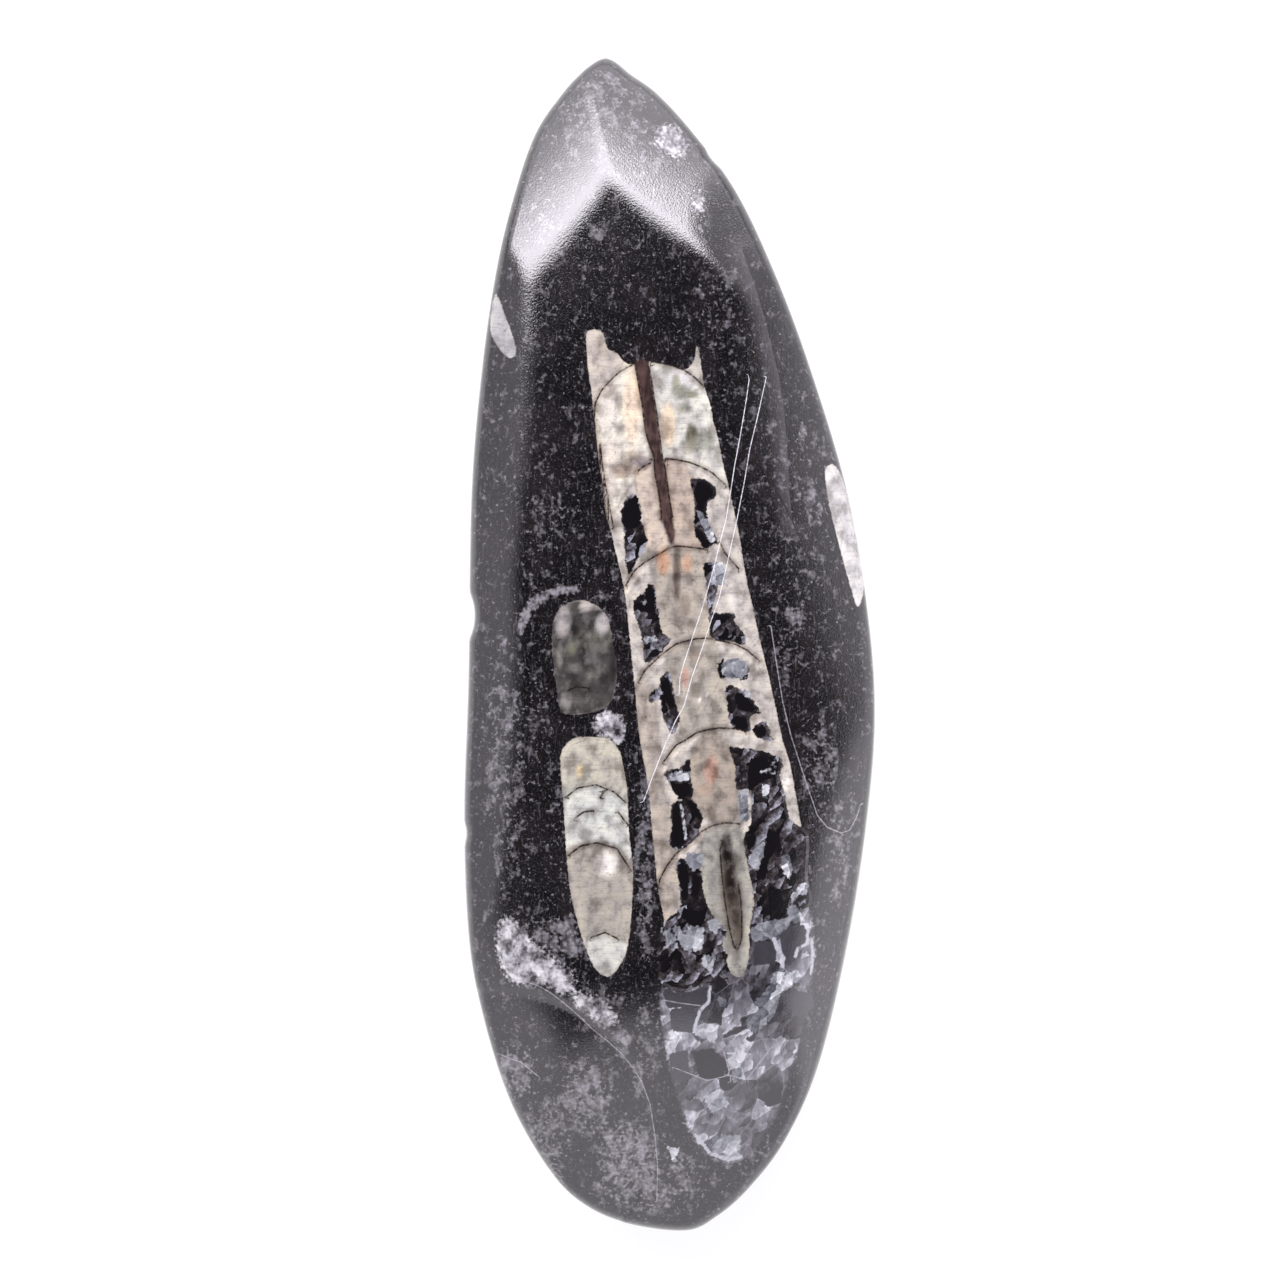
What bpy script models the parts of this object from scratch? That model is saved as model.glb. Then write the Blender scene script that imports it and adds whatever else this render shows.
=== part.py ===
"""A polished orthoceras fossil: one ground and polished piece of black limestone, in metres, +Z up.

The stone lies on its lapped back with its pointed end towards +Y. The origin is at the middle of its
bounding box, on the surface it rests on. The fossil shells are flush with the polish, so they are colour
alone, and the stone is one solid.
"""

import math

import bmesh
import bpy
import numpy as np
from mathutils import Vector, noise

NODE = "polished_fossil_stone"

# Driving sizes, in metres.
LENGTH = 0.1200
CROWN_HEIGHT = 0.0186  # the highest point of the polished face above the back
RIM_DROP = 0.0012  # how far the widest line runs below the edge of the polished face
RIM_ROUND_TOP = 0.0011  # how far in from the outline the upper rim is rounded
RIM_FULLNESS_TOP = 2.0  # 2 rounds the upper rim as an ellipse, and more makes it fuller
RIM_ROUND_BACK = 0.0072  # the same two sizes for the lower rim
RIM_FULLNESS_BACK = 2.4
CROWN_RADIUS_ACROSS = 0.130
CROWN_RADIUS_ALONG = 0.520
BACK_BULGE = 0.0008  # how far the back bulged before it was lapped flat
BACK_RADIUS_ACROSS = 0.070
BACK_RADIUS_ALONG = 0.700
GRINDING_WAVE = 0.00010  # low waves that hand grinding leaves
GRINDING_WAVE_LENGTH = 0.014

# The outline from above, from the pointed end down each side to the round end, in shares of the length.
POINT = (-0.0540, 0.5000)
ROUND_END = (0.0133, -0.5000)
LEFT_SIDE = (
    (-0.0625, 0.4965), (-0.0751, 0.4859), (-0.0904, 0.4692), (-0.1133, 0.4350), (-0.1308, 0.3833),
    (-0.1467, 0.3150), (-0.1588, 0.2300), (-0.1671, 0.1275), (-0.1696, -0.0258), (-0.1733, -0.1458),
    (-0.1692, -0.2475), (-0.1571, -0.3158), (-0.1358, -0.3842), (-0.1083, -0.4358), (-0.0808, -0.4700),
    (-0.0417, -0.4917),
)  # fmt: skip
RIGHT_SIDE = (
    (-0.0450, 0.4965), (-0.0324, 0.4859), (-0.0100, 0.4692), (0.0204, 0.4350), (0.0571, 0.3833),
    (0.0888, 0.3150), (0.1204, 0.2300), (0.1508, 0.1275), (0.1679, 0.0250), (0.1733, -0.0600),
    (0.1671, -0.1458), (0.1517, -0.2475), (0.1279, -0.3500), (0.0992, -0.4183), (0.0692, -0.4608),
    (0.0417, -0.4867),
)  # fmt: skip

# Hand-ground facets round the crown: a point on the ridge of each, the way it faces, its slope at the
# ridge, the radius it is rounded to outwards, and the height over which its ridge is softened.
FACETS = {
    "left_bevel": {
        "through": (-0.0157, 0.0046), "faces": (-1.0, 0.0), "slope_deg": 21, "radius": 0.040, "blend": 0.0004,
    },
    "upper_left_bevel": {
        "through": (-0.0142, 0.0296), "faces": (-0.985, 0.17), "slope_deg": 20, "radius": 0.040, "blend": 0.0004,
    },
    "lower_left": {
        "through": (-0.0150, -0.0315), "faces": (-0.8, -0.6), "slope_deg": 16, "radius": 0.050, "blend": 0.0006,
    },
    "tip_left": {
        "through": (-0.0094, 0.0428), "faces": (-0.75, 0.66), "slope_deg": 17, "radius": 0.045, "blend": 0.0003,
    },
    "tip_right": {
        "through": (-0.0027, 0.0440), "faces": (0.45, 0.89), "slope_deg": 17, "radius": 0.045, "blend": 0.0003,
    },
    "upper_right": {
        "through": (0.0012, 0.0421), "faces": (0.69, 0.73), "slope_deg": 20.6, "radius": 0.090, "blend": 0.0002,
    },
    "long_right": {
        "through": (0.0040, 0.0291), "faces": (0.97, 0.25), "slope_deg": 6, "radius": 0.042, "blend": 0.0006,
    },
    "lower_right": {
        "through": (0.0144, -0.0205), "faces": (0.967, -0.254), "slope_deg": 16, "radius": 0.014, "blend": 0.0008,
    },
    "lower_right_end": {
        "through": (0.0095, -0.0435), "faces": (0.85, -0.53), "slope_deg": 17, "radius": 0.018, "blend": 0.0008,
    },
    "round_end": {
        "through": (0.0, -0.0350), "faces": (0.04, -1.0), "slope_deg": 13, "radius": 0.120, "blend": 0.0006,
    },
}

# A shallow conchoidal scar, ground smooth, at the round end: everything inside this circle is scooped.
SCAR_CENTRE = (-0.0170, -0.0500)
SCAR_RADIUS = 0.0156
SCAR_DEPTH = 0.00045
SCAR_LIP = 0.0007
SCAR_FADE = 0.0060

# Small chips in the rim: the point on the outline, half their length along it, and their depth.
CHIPS = (
    {"at": (-0.0203, 0.0030), "reach": 0.0024, "depth": 0.00055},
    {"at": (0.0046, 0.0496), "reach": 0.0012, "depth": 0.00025},
    {"at": (-0.0204, -0.0190), "reach": 0.0012, "depth": 0.00025},
)

SEGMENTS_AROUND = 56
SEGMENTS_ALONG = 84
TOP_SEGMENTS = 32  # of those, the ones over the polished face; the rest go under the stone
PATH_STEPS = 24
MERGE_DISTANCE = 0.00002
STATIONS = 400  # points to each side of the outline
SHARP_EDGE_DEG = 30
EVEN_SHARE = 0.25  # 1 spaces the sections evenly along the stone, 0 crowds them at its ends


def smooth_loop(points, steps):
    """A closed Catmull-Rom curve through points, with steps points to each span, as an array."""
    p = np.array(points)
    u = np.linspace(0, 1, steps, endpoint=False)[:, None]
    return np.vstack([
        0.5 * (2 * b + (c - a) * u + (2 * a - 5 * b + 4 * c - d) * u**2 + (3 * b - a - 3 * c + d) * u**3)
        for a, b, c, d in zip(np.roll(p, 1, 0), p, np.roll(p, -1, 0), np.roll(p, -2, 0))
    ])  # fmt: skip


def at_share(path, share):
    """The points of path that lie at the given shares of its length."""
    run = np.concatenate([[0], np.cumsum(np.linalg.norm(np.diff(path, axis=0), axis=1))])
    return np.column_stack([np.interp(share * run[-1], run, path[:, axis]) for axis in (0, 1)])


def chipped(side, outwards):
    """A side of the outline with its chips taken out; outwards is -1 on the left and 1 on the right."""
    side = side.copy()
    for chip in CHIPS:
        far = np.linalg.norm(side - np.array(chip["at"]), axis=1) / chip["reach"]
        side[:, 0] -= outwards * chip["depth"] * np.clip(1 - far**2, 0, 1)
    return side


def outline_sides():
    """The left and the right side of the outline, both from the point to the round end."""
    loop = smooth_loop([POINT, *LEFT_SIDE, ROUND_END, *reversed(RIGHT_SIDE)], PATH_STEPS) * LENGTH
    at_round_end = PATH_STEPS * (len(LEFT_SIDE) + 1)
    left = loop[: at_round_end + 1]
    right = np.vstack([loop[:1], loop[: at_round_end - 1 : -1]])
    evenly = np.linspace(0, 1, STATIONS)
    return chipped(at_share(left, evenly), -1), chipped(at_share(right, evenly), 1)


def smooth_min(a, b, blend):
    """The lower of two heights, rounded where they meet."""
    near = np.clip(1 - np.abs(a - b) / blend, 0, 1)
    return np.minimum(a, b) - near**2 * blend / 4


def crown_height(x, y):
    """Height of the low crown of the polished face."""
    return CROWN_HEIGHT - x**2 / (2 * CROWN_RADIUS_ACROSS) - y**2 / (2 * CROWN_RADIUS_ALONG)


def scar_depth(x, y):
    """How deep the scar is: it drops at its lip and comes back up to the polish towards its middle."""
    inside = SCAR_RADIUS - np.hypot(x - SCAR_CENTRE[0], y - SCAR_CENTRE[1])
    lip = np.clip(inside / SCAR_LIP, 0, 1)
    return SCAR_DEPTH * lip * lip * (3 - 2 * lip) * np.exp(-np.maximum(inside, 0) / SCAR_FADE)


def face_height(x, y):
    """Height of the polished face before its rim is rounded: the crown cut by the facets and the scar."""
    z = crown_height(x, y)
    for facet in FACETS.values():
        out = np.array(facet["faces"]) / np.linalg.norm(facet["faces"])
        ridge = facet["through"]
        beyond = (x - ridge[0]) * out[0] + (y - ridge[1]) * out[1]
        drop = math.tan(math.radians(facet["slope_deg"])) * beyond
        drop += np.maximum(beyond, 0) ** 2 / (2 * facet["radius"])
        z = smooth_min(z, crown_height(*ridge) - drop, facet["blend"])
    return z - scar_depth(x, y)


def back_height(x, y):
    """Height of the back before its rim is rounded and it is lapped flat."""
    return x**2 / (2 * BACK_RADIUS_ACROSS) + y**2 / (2 * BACK_RADIUS_ALONG) - BACK_BULGE


def rim_share(inset, reach, power):
    """How far the surface has left the rim line, from 0 at the outline to 1 at reach inside it."""
    return (1 - np.clip(1 - inset / reach, 0, 1) ** power) ** (1 / power)


def distance_to(path, points):
    """How far each point is from a path of straight pieces."""
    start, run = path[:-1], np.diff(path, axis=0)
    from_start = points[:, None] - start
    share = np.clip((from_start * run).sum(2) / (run**2).sum(1), 0, 1)
    return np.linalg.norm(from_start - share[:, :, None] * run, axis=2).min(1)


def outline_inset(points, left, right):
    """How far each point is inside the outline; towards the pointed end the two sides blend."""
    a, b = (distance_to(side, points) + MERGE_DISTANCE / 100 for side in (left, right))
    pointed = np.clip(2 * points[:, 1] / LENGTH, 0, 1)
    return (1 - pointed) * np.minimum(a, b) + pointed * a * b / (a**3 + b**3) ** (1 / 3)


def stone_points(lat, lon):
    """Where the points of a sphere with its poles on Y go on the stone.

    lat runs from 0 at the point to 1 at the round end. lon runs round a section from 0 at the right rim,
    over the polished face to 0.5 at the left rim, and back under the stone.
    """
    left, right = outline_sides()
    along = EVEN_SHARE * lat + (1 - EVEN_SHARE) * (1 - np.cos(math.pi * lat)) / 2
    from_left, from_right = at_share(left, along), at_share(right, along)
    across = (1 + np.cos(2 * math.pi * lon)) / 2
    flat = from_left + (from_right - from_left) * across[:, None]
    x, y = flat.T
    inset = outline_inset(flat, left, right)
    on_top = lon <= 0.5
    wave = np.array([GRINDING_WAVE * noise.noise(Vector((a, b, 0)) / GRINDING_WAVE_LENGTH) for a, b in flat])
    rim = face_height(x, y) + wave - RIM_DROP
    top = rim + RIM_DROP * rim_share(inset, RIM_ROUND_TOP, RIM_FULLNESS_TOP)
    back = rim - (rim - back_height(x, y)) * rim_share(inset, RIM_ROUND_BACK, RIM_FULLNESS_BACK)
    return np.column_stack([x, y, np.where(on_top, top, back)])


def sphere_angles(points):
    """(lat, lon) of a unit sphere's points, each from 0 to 1, with more of lon given to the polished face."""
    lat = np.arccos(np.clip(points[:, 2], -1, 1)) / math.pi
    turn = np.arctan2(points[:, 1], points[:, 0]) / (2 * math.pi) % 1.0
    turn = np.round(turn * SEGMENTS_AROUND) / SEGMENTS_AROUND % 1.0
    rims = (0, TOP_SEGMENTS / SEGMENTS_AROUND, 1)
    return lat, np.interp(turn, rims, (0, 0.5, 1))


def make_stone():
    bm = bmesh.new()
    bmesh.ops.create_uvsphere(bm, u_segments=SEGMENTS_AROUND, v_segments=SEGMENTS_ALONG, radius=1)
    lat, lon = sphere_angles(np.array([v.co for v in bm.verts]))
    for vertex, place in zip(bm.verts, stone_points(lat, lon)):
        vertex.co = place
    bmesh.ops.remove_doubles(bm, verts=bm.verts, dist=MERGE_DISTANCE)
    lap_back(bm)
    bmesh.ops.recalc_face_normals(bm, faces=bm.faces)
    mesh = bpy.data.meshes.new(NODE)
    bm.to_mesh(mesh)
    bm.free()
    mesh.shade_smooth()
    mesh.set_sharp_from_angle(angle=math.radians(SHARP_EDGE_DEG))
    stone = bpy.data.objects.new(NODE, mesh)
    bpy.context.scene.collection.objects.link(stone)
    return stone


def lap_back(bm):
    """Cuts the bulge of the back off at the origin's height and closes it with one flat face."""
    cut = bmesh.ops.bisect_plane(
        bm, geom=[*bm.verts, *bm.edges, *bm.faces], plane_co=(0, 0, 0), plane_no=(0, 0, -1), clear_outer=True
    )
    edges = [e for e in cut["geom_cut"] if isinstance(e, bmesh.types.BMEdge)]
    bmesh.ops.edgeloop_fill(bm, edges=edges)
    bmesh.ops.dissolve_degenerate(bm, dist=MERGE_DISTANCE, edges=bm.edges)


def polished_limestone():
    material = bpy.data.materials.new("polished_black_limestone")
    material.use_nodes = True
    shader = material.node_tree.nodes["Principled BSDF"]
    shader.inputs["Base Color"].default_value = (0.014, 0.012, 0.014, 1)
    shader.inputs["Roughness"].default_value = 0.12
    shader.inputs["Metallic"].default_value = 0.0
    return material


def main():
    for old in list(bpy.data.objects):
        bpy.data.objects.remove(old)
    make_stone().data.materials.append(polished_limestone())


main()
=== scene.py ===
"""A polished orthoceras fossil: a leaf-shaped piece of black limestone with two chambered shells in it.

The stone lies on its lapped back on a plain pale light table, with its pointed end towards +Y. The fossils
are ground flush with the polish, so they are drawn as colour on one closed stone. Metres, +Z up.
"""

import math

import bmesh
import bpy
import numpy as np
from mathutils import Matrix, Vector, noise


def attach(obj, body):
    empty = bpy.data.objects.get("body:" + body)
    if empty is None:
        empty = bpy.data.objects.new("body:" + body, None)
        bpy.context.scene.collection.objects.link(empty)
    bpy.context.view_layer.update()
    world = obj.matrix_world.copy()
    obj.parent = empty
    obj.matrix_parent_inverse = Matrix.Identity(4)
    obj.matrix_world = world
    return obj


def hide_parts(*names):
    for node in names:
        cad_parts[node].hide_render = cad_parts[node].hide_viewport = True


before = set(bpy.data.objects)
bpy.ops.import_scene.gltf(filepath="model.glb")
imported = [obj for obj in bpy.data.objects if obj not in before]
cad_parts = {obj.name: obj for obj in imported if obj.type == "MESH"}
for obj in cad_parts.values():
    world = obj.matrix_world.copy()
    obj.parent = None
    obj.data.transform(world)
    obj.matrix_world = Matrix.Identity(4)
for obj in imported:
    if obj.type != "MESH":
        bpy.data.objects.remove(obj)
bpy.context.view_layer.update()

MM = 0.001

# ---- the stone's shape, in metres
LENGTH = 0.1200
CROWN_HEIGHT = 0.0186
RIM_DROP = 0.0012  # from the face's edge down to the widest line
RIM_ROUND_TOP = 0.0011
RIM_FULLNESS_TOP = 2.0  # 2 is a round, and more is squarer
RIM_ROUND_BACK = 0.0072
RIM_FULLNESS_BACK = 2.4
CROWN_RADIUS_ACROSS = 0.130
CROWN_RADIUS_ALONG = 0.520
BACK_BULGE = 0.0008  # how much of it is lapped off
BACK_RADIUS_ACROSS = 0.070
BACK_RADIUS_ALONG = 0.700
GRINDING_WAVE = 0.00010
GRINDING_WAVE_LENGTH = 0.014

# fmt: off
# The outline in lengths of the stone, both sides from the point to the round end.
POINT = (-0.0540, 0.5000)
ROUND_END = (0.0133, -0.5000)
LEFT_SIDE = (
    (-0.0625, 0.4965), (-0.0751, 0.4859), (-0.0904, 0.4692), (-0.1133, 0.4350), (-0.1308, 0.3833),
    (-0.1467, 0.3150), (-0.1588, 0.2300), (-0.1671, 0.1275), (-0.1696, -0.0258), (-0.1733, -0.1458),
    (-0.1692, -0.2475), (-0.1571, -0.3158), (-0.1358, -0.3842), (-0.1083, -0.4358), (-0.0808, -0.4700),
    (-0.0417, -0.4917),
)
RIGHT_SIDE = (
    (-0.0450, 0.4965), (-0.0324, 0.4859), (-0.0100, 0.4692), (0.0204, 0.4350), (0.0571, 0.3833),
    (0.0888, 0.3150), (0.1204, 0.2300), (0.1508, 0.1275), (0.1679, 0.0250), (0.1733, -0.0600),
    (0.1671, -0.1458), (0.1517, -0.2475), (0.1279, -0.3500), (0.0992, -0.4183), (0.0692, -0.4608),
    (0.0417, -0.4867),
)
# fmt: on

FACETS = (
    # a point on each one's ridge, the way it faces, its slope there in degrees, and its radius and blend
    ((-0.0157, 0.0046), (-1.0, 0.0), 21, 0.040, 0.0004),  # left bevel
    ((-0.0142, 0.0296), (-0.985, 0.17), 20, 0.040, 0.0004),  # upper left bevel
    ((-0.0150, -0.0315), (-0.8, -0.6), 16, 0.050, 0.0006),  # lower left
    ((-0.0094, 0.0428), (-0.75, 0.66), 17, 0.045, 0.0003),  # tip left
    ((-0.0027, 0.0440), (0.45, 0.89), 17, 0.045, 0.0003),  # tip right
    ((0.0012, 0.0421), (0.69, 0.73), 20.6, 0.090, 0.0002),  # upper right
    ((0.0040, 0.0291), (0.97, 0.25), 6, 0.042, 0.0006),  # long right
    ((0.0144, -0.0205), (0.967, -0.254), 16, 0.014, 0.0008),  # lower right
    ((0.0095, -0.0435), (0.85, -0.53), 17, 0.018, 0.0008),  # lower right end
    ((0.0, -0.0350), (0.04, -1.0), 13, 0.120, 0.0006),  # round end
)

SCAR_CENTRE = (-0.0170, -0.0500)
SCAR_RADIUS = 0.0156
SCAR_DEPTH = 0.00045
SCAR_LIP = 0.0007
SCAR_FADE = 0.0060

CHIPS = (
    # where each chip is on the rim, its reach and its depth
    ((-0.0203, 0.0030), 0.0024, 0.00055),
    ((0.0046, 0.0496), 0.0012, 0.00025),
    ((-0.0204, -0.0190), 0.0012, 0.00025),
)

SEGMENTS_AROUND = 248
SEGMENTS_ALONG = 390
TOP_SEGMENTS = 212  # of those around, the ones on the polished face
PATH_STEPS = 24  # points to each span of the outline
STATIONS = 400  # points along each side
EVEN_SHARE_ALONG = 0.72  # how evenly the mesh is spread; the rest crowds at the ends
EVEN_SHARE_ACROSS = 0.55
SKIN = 0.00002  # how far the drawn surface stays inside the solid's box
AT_POLE = 1e-4
ON_OUTLINE = 1e-7  # the least inset, so that a point on the outline divides by something
BATCH = 4000  # points measured against a path at a time
FACE_STRIP = (0.60, 0.01)  # where the map's u starts and ends on the polished face
BACK_STRIP = (0.99, 0.62)
LENGTH_STRIP = (0.99, 0.01)

# ---- the drawing grid on the polished face
GRID_STEP = 0.1003  # mm on the stone
GRID_CENTRE = (640, 640)  # in steps, counted to the right and down
GRID_CENTRE_AT = (-2.97, 0.56)  # mm from the origin
RIM_LEVEL = 0.0085  # the mean height of the widest line, in metres

# ---- drawing of the fossils, in grid steps
# fmt: off
# The larger shell: its outline, cut lengthwise by the polish and broken off at both ends.
SHELL = (
    (587, 331), (602, 331), (607, 347), (617, 353), (625, 362), (634, 364), (648, 361), (658, 362),
    (672, 365), (685, 369), (694, 361), (697, 344), (701, 362), (704, 385), (710, 402), (713, 419),
    (718, 437), (723, 463), (727, 479), (732, 501), (736, 520), (741, 545), (745, 570), (749, 590),
    (754, 612), (760, 640), (766, 664), (772, 690), (777, 713), (783, 741), (788, 756), (792, 772),
    (795, 790), (798, 805), (800, 818), (803, 840), (800, 880), (806, 900), (790, 915), (752, 930),
    (750, 945), (748, 967), (741, 978), (731, 974), (722, 955), (706, 975), (690, 985), (668, 978),
    (664, 950), (664, 920), (660, 900), (657, 880), (654, 850), (651, 818), (647, 779), (640, 741),
    (635, 690), (631, 650), (627, 610), (624, 587), (616, 553), (610, 528), (606, 515), (604, 498),
    (601, 476), (598, 458), (596, 441), (594, 419), (592, 396), (589, 377), (587, 354),
)
# The smaller shell: a smoky upper part and a pale lower part.
SMALL_SHELL_TOP = (
    (553, 624), (558, 610), (568, 603), (580, 600), (594, 604), (603, 611), (609, 621), (612, 640),
    (616, 660), (617, 675), (614, 693), (608, 705), (590, 713), (565, 714), (558, 702), (557, 690),
    (554, 672), (552, 644),
)
SMALL_SHELL = (
    (560, 759), (565, 746), (575, 738), (591, 737), (609, 739), (619, 750), (623, 765), (627, 790),
    (629, 830), (632, 860), (633, 880), (631, 920), (627, 950), (620, 966), (608, 978), (594, 968),
    (586, 950), (578, 925), (570, 890), (566, 850), (563, 800),
)
# Broken pieces of shell along the rims.
RIGHT_BIT = (
    (826, 472), (829, 465), (836, 464), (844, 477), (853, 507), (860, 542), (865, 576), (865, 592),
    (859, 607), (852, 588), (843, 556), (836, 528), (829, 498),
)
LEFT_BIT = (
    (494, 291), (499, 299), (504, 313), (510, 328), (515, 344), (515, 353), (510, 357), (503, 352),
    (497, 345), (491, 334), (489, 325), (490, 308),
)
# Loose shell bits and patches of pale calcite in the limestone.
PATCHES = (
    ((496, 941), (501, 922), (512, 920), (525, 938), (537, 947), (555, 962), (569, 973), (574, 990),
     (562, 996), (551, 988), (530, 986), (510, 982), (500, 965)),
    ((575, 995), (590, 998), (605, 1005), (617, 1017), (607, 1030), (590, 1018), (578, 1008)),
    ((593, 722), (607, 711), (622, 720), (625, 736), (617, 744), (607, 736), (595, 732)),
    ((656, 134), (658, 124), (668, 119), (678, 122), (684, 132), (687, 143), (682, 151), (671, 150),
     (663, 144)),
    ((694, 190), (699, 188), (704, 199), (704, 209), (698, 211), (694, 200)),
)
# Chambers that dark sparry calcite fills.
POCKETS = (
    ((626, 498), (636, 495), (641, 508), (641, 520), (645, 532), (647, 546), (636, 562), (629, 574),
     (625, 558), (624, 532), (621, 515)),
    ((690, 479), (704, 479), (714, 486), (716, 496), (707, 504), (708, 520), (713, 530), (719, 542),
     (712, 545), (705, 549), (696, 535), (694, 520), (695, 509), (693, 492)),
    ((648, 583), (655, 588), (656, 602), (659, 612), (661, 630), (671, 640), (664, 649), (656, 658),
     (645, 663), (643, 648), (640, 630), (633, 609), (636, 598), (646, 591)),
    ((703, 565), (712, 562), (720, 563), (724, 572), (718, 586), (716, 600), (712, 612), (734, 614),
     (735, 623), (744, 632), (745, 645), (730, 641), (711, 638), (710, 622), (707, 602), (706, 581)),
    ((670, 672), (674, 695), (678, 711), (680, 722), (672, 735), (668, 728), (662, 714), (660, 699),
     (650, 704), (649, 695), (655, 690), (660, 686), (661, 677)),
    ((726, 686), (738, 688), (750, 697), (758, 708), (761, 713), (750, 716), (751, 731), (738, 730),
     (730, 722), (727, 705)),
    ((753, 727), (766, 722), (771, 735), (775, 741), (760, 739), (754, 734)),
    ((663, 772), (681, 768), (686, 759), (690, 761), (691, 779), (693, 796), (681, 799), (673, 791),
     (669, 782)),
    ((672, 805), (681, 800), (691, 799), (703, 816), (700, 828), (698, 837), (689, 844), (676, 851),
     (669, 842), (672, 830), (671, 820)),
    ((729, 748), (740, 748), (757, 750), (773, 755), (783, 760), (780, 777), (786, 796), (790, 820),
     (809, 834), (808, 878), (813, 903), (793, 921), (752, 935), (754, 905), (750, 876), (745, 850),
     (744, 836), (751, 824), (750, 790), (737, 790), (735, 766)),
    ((676, 863), (687, 861), (702, 872), (703, 890), (711, 913), (727, 932), (722, 945), (728, 958),
     (722, 971), (708, 982), (690, 993), (661, 984), (658, 950), (665, 922), (681, 906)),
)
# Dark facets of single crystals; light ones, in part pale crystal and in part painted highlights where the
# spar's cleavage catches the light; and, in the sparry ground, smooth grey ones.
BLACK = (
    ((626, 500), (635, 497), (641, 508), (640, 527), (630, 530), (624, 528), (622, 515)),
    ((697, 481), (708, 482), (715, 492), (706, 503), (707, 516), (698, 510), (694, 492)),
    ((694, 527), (700, 530), (710, 546), (705, 549), (697, 538)),
    ((648, 583), (654, 588), (656, 602), (652, 613), (640, 612), (646, 600), (644, 594)),
    ((659, 683), (668, 676), (673, 694), (676, 708), (668, 706), (663, 694)),
    ((733, 697), (738, 691), (750, 699), (758, 709), (760, 712), (748, 712), (738, 710)),
    ((718, 663), (724, 659), (723, 669), (729, 677), (721, 679), (717, 671)),
    ((744, 662), (750, 668), (747, 679), (738, 681), (744, 673)),
    ((731, 716), (747, 717), (749, 731), (740, 730), (732, 724)),
    ((755, 728), (763, 725), (768, 733), (764, 737), (757, 735)),
    ((672, 785), (680, 784), (690, 786), (692, 795), (683, 798), (675, 792)),
    ((673, 806), (679, 806), (683, 826), (687, 843), (677, 849), (671, 841), (673, 826)),
    ((686, 801), (691, 801), (703, 816), (701, 822), (693, 815)),
    ((749, 763), (757, 757), (773, 757), (779, 763), (777, 776), (766, 780), (756, 784), (750, 795),
     (748, 780)),
    ((745, 836), (755, 834), (757, 845), (748, 851)),
    ((768, 829), (779, 834), (781, 843), (772, 856), (767, 868), (766, 880), (757, 880), (756, 869),
     (764, 853)),
    ((677, 864), (685, 863), (689, 880), (688, 899), (683, 901), (679, 882)),
    ((692, 872), (700, 876), (699, 895), (693, 899), (691, 884)),
    ((682, 907), (697, 911), (706, 919), (700, 930), (690, 926), (681, 917)),
    ((769, 884), (781, 890), (785, 905), (780, 914), (771, 911), (768, 897)),
    ((692, 1054), (712, 1050), (728, 1064), (730, 1083), (700, 1082)),
)
# pale crystal facets, some of them painted highlights of light caught on cleavage in the spar
LIGHT = (
    ((696, 510), (703, 513), (716, 540), (711, 543), (701, 524)),
    ((643, 637), (656, 636), (657, 641), (646, 643)),
    ((642, 600), (647, 599), (647, 604), (643, 605)),
    ((721, 666), (728, 659), (738, 658), (747, 664), (749, 672), (741, 679), (729, 678), (723, 674)),
    ((713, 563), (722, 562), (727, 572), (724, 585), (716, 586), (711, 576)),
    ((668, 772), (690, 772), (689, 779), (672, 781)),
    ((685, 853), (704, 853), (702, 866), (694, 872), (686, 864)),
    ((690, 926), (704, 928), (703, 950), (694, 952), (684, 938)),
    ((758, 838), (765, 842), (764, 858), (757, 862), (752, 852)),
    ((748, 856), (756, 852), (762, 862), (758, 870), (751, 868)),
    ((764, 784), (770, 786), (768, 800), (762, 797)),
    ((704, 955), (716, 958), (712, 972), (702, 968)),
    ((741, 688), (750, 691), (751, 698), (745, 696)),
    ((672, 776), (681, 771), (688, 774), (689, 780), (680, 782), (673, 781)),
    ((738, 791), (748, 790), (750, 822), (740, 821)),
    ((783, 855), (789, 855), (793, 868), (790, 880), (787, 878), (781, 866)),
    ((672, 925), (680, 928), (692, 945), (690, 955), (681, 948)),
    ((708, 922), (716, 918), (722, 926), (716, 934), (709, 930)),
    ((664, 930), (670, 930), (676, 942), (672, 945), (664, 938)),
    ((751, 929), (768, 921), (789, 919), (791, 926), (776, 939), (762, 942), (752, 942)),
    ((787, 911), (792, 904), (799, 909), (807, 924), (793, 924)),
    ((802, 883), (807, 883), (804, 890), (793, 904), (790, 900)),
    ((784, 978), (797, 970), (804, 979), (787, 990)),
    ((776, 970), (784, 968), (782, 990), (775, 1018), (762, 1030), (750, 1039), (746, 1022), (752, 1006),
     (768, 990)),
    ((668, 1032), (690, 1035), (687, 1041), (671, 1046)),
    ((696, 1022), (719, 1027), (715, 1045), (694, 1037)),
    ((716, 998), (728, 1000), (725, 1009), (719, 1005)),
    ((727, 1056), (736, 1054), (747, 1084), (735, 1087)),
    ((704, 1100), (722, 1092), (730, 1110), (712, 1118)),
    ((711, 1141), (742, 1141), (742, 1162), (729, 1166), (713, 1158)),
    ((668, 1153), (680, 1155), (674, 1172)),
)
GREY = (
    ((754, 948), (760, 942), (773, 942), (777, 954), (776, 964), (754, 967)),
    ((780, 936), (790, 926), (804, 926), (810, 936), (802, 954), (791, 967), (784, 964)),
    ((662, 989), (682, 995), (710, 987), (707, 1004), (695, 1009), (667, 1009)),
    ((670, 1010), (701, 1012), (709, 1009), (707, 1026), (698, 1045), (692, 1035), (671, 1034)),
    ((712, 992), (723, 998), (720, 1017)),
    ((783, 998), (794, 992), (813, 995), (815, 1010), (801, 1020), (783, 1004)),
    ((669, 1056), (688, 1052), (690, 1082), (672, 1084)),
)
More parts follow.
